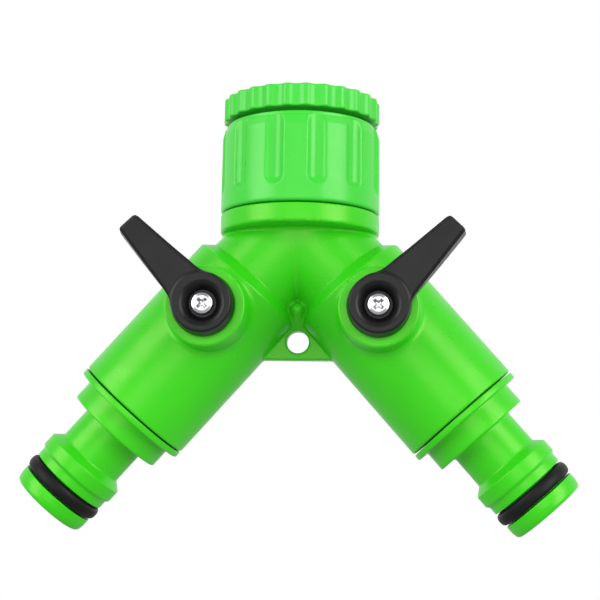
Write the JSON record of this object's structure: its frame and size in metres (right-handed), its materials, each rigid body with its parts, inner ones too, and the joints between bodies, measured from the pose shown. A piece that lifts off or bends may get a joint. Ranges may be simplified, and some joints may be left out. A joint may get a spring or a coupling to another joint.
{
  "type": "garden hose splitter",
  "caption": "Green Y-shaped garden hose splitter with a knurled inlet adapter in a fluted swivel nut, black shut-off levers, click-fit outlet nipples and a hanging web.",
  "frame": {"origin": "centre of the inlet's mouth, in the plane of the adapter ring's top face", "axes": "+Z along the inlet's axis towards the tap, +X to the right-hand outlet, -Y towards the levers"},
  "size_m": [0.1098, 0.0405, 0.0866],
  "materials": {
    "green_plastic": "vivid green injection-moulded plastic, glossy with a fine moulded grain",
    "mint_plastic": "slightly bluer green injection-moulded plastic, semi-gloss",
    "black_plastic": "near-black satin plastic",
    "white_seat": "white low-friction seat plastic",
    "black_rubber": "black rubber, slightly greased",
    "steel": "bright zinc-plated steel",
    "chromed_brass": "polished chromed brass"
  },
  "bodies": {
    "splitter_body": {"y_body": "green_plastic", "nut_retaining_ring": "steel", "nut_washer": "black_rubber", "left_outlet_nipple": "green_plastic", "left_nipple_o_ring": "black_rubber", "left_plug_o_ring": "black_rubber", "left_inner_seat": "white_seat", "left_outer_seat": "white_seat", "right_outlet_nipple": "green_plastic", "right_nipple_o_ring": "black_rubber", "right_plug_o_ring": "black_rubber", "right_inner_seat": "white_seat", "right_outer_seat": "white_seat"},
    "nut": {"swivel_nut": "mint_plastic"},
    "adapter_seal": {"adapter_washer": "black_rubber"},
    "adapter": {"adapter_ring": "mint_plastic"},
    "left_valve": {"left_lever": "black_plastic", "left_lever_screw": "steel", "left_valve_stem": "black_plastic", "left_stem_o_ring": "black_rubber", "left_valve_ball": "chromed_brass"},
    "right_valve": {"right_lever": "black_plastic", "right_lever_screw": "steel", "right_valve_stem": "black_plastic", "right_stem_o_ring": "black_rubber", "right_valve_ball": "chromed_brass"}
  },
  "joints": [
    {"name": "nut_swivel", "type": "hinge", "parent": "splitter_body", "child": "nut", "pos_m": [0, 0, -0.0144], "axis": [0, 0, 1], "continuous": true},
    {"name": "adapter_advance", "type": "slide", "parent": "nut", "child": "adapter_seal", "axis": [0, 0, 1], "range_m": [0, 0.0091]},
    {"name": "adapter_turn", "type": "hinge", "parent": "adapter_seal", "child": "adapter", "pos_m": [0, 0, 0], "axis": [0, 0, 1], "range_deg": [0, 1800]},
    {"name": "left_lever_turn", "type": "hinge", "parent": "splitter_body", "child": "left_valve", "pos_m": [-0.0163, 0, -0.04447], "axis": [0, -1, 0], "range_deg": [0, 94]},
    {"name": "right_lever_turn", "type": "hinge", "parent": "splitter_body", "child": "right_valve", "pos_m": [0.0163, 0, -0.04447], "axis": [0, 1, 0], "range_deg": [0, 94]}
  ],
  "couplings": [
    {"joint": "adapter_advance", "follows": "adapter_turn", "m_per_rad": 0.00028871}
  ]
}
